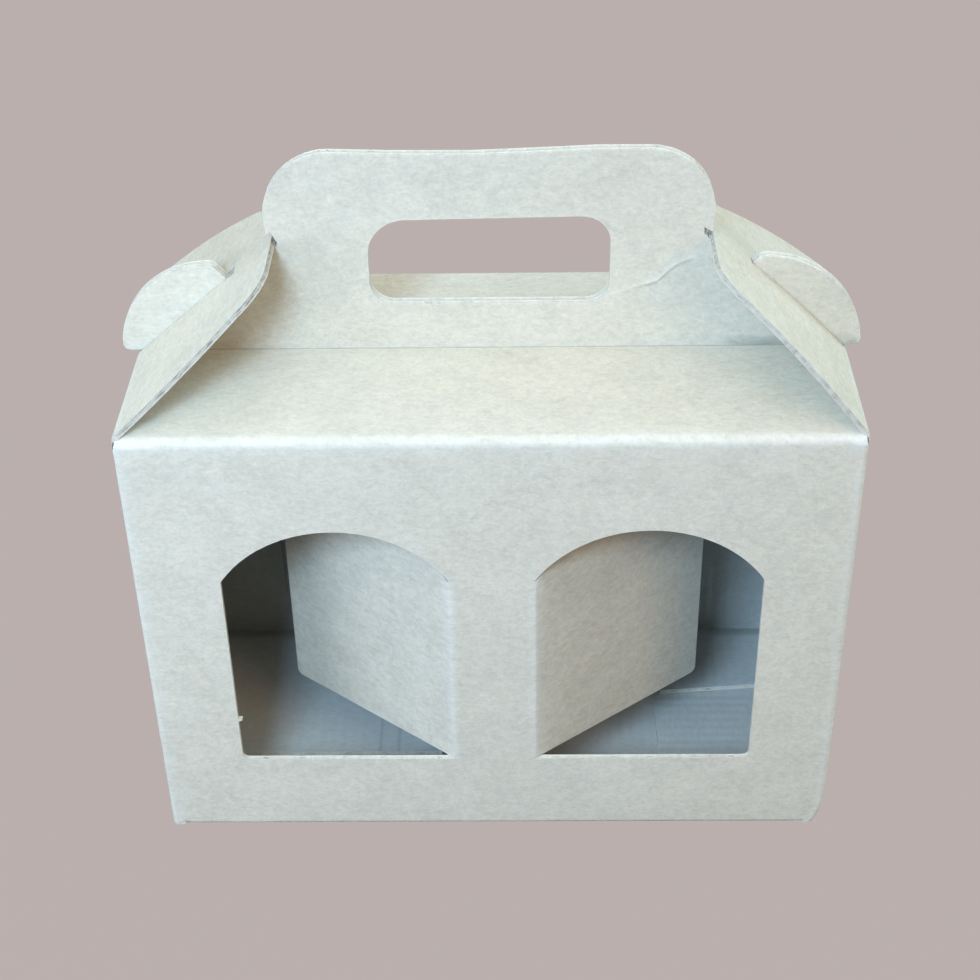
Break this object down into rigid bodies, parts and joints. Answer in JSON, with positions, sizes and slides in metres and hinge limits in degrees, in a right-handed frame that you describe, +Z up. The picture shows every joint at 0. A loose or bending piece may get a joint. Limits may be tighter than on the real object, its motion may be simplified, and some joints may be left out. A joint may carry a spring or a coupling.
{
  "type": "jar carrier box",
  "caption": "Corrugated carrier box for jars with arched front windows, swing-in divider flaps, slotted side lock flaps and a double-ply top carrying handle.",
  "frame": {"origin": "on the ground under the middle of the box", "axes": "+Z up, front wall with the windows towards -Y, +X to the right as seen from the front"},
  "size_m": [0.1972, 0.087, 0.1954],
  "materials": {
    "board": "matt pale liner"
  },
  "bodies": {
    "carton": {"carton": "board"},
    "left_lock_flap": {"left_lock_flap": "board"},
    "right_lock_flap": {"right_lock_flap": "board"},
    "left_window_flap": {"left_window_flap": "board"},
    "right_window_flap": {"right_window_flap": "board"}
  },
  "joints": [
    {"name": "left_lock_hinge", "type": "hinge", "parent": "carton", "child": "left_lock_flap", "pos_m": [-0.09425, 0, 0.136], "axis": [0, -1, 0], "range_deg": [0, 130]},
    {"name": "right_lock_hinge", "type": "hinge", "parent": "carton", "child": "right_lock_flap", "pos_m": [0.09425, 0, 0.136], "axis": [0, 1, 0], "range_deg": [0, 130]},
    {"name": "left_window_hinge", "type": "hinge", "parent": "carton", "child": "left_window_flap", "pos_m": [-0.0113, -0.04275, 0.06], "axis": [0, 0, -1], "range_deg": [-37.5, 52.5]},
    {"name": "right_window_hinge", "type": "hinge", "parent": "carton", "child": "right_window_flap", "pos_m": [0.0113, -0.04275, 0.06], "axis": [0, 0, 1], "range_deg": [-37.5, 52.5]}
  ]
}
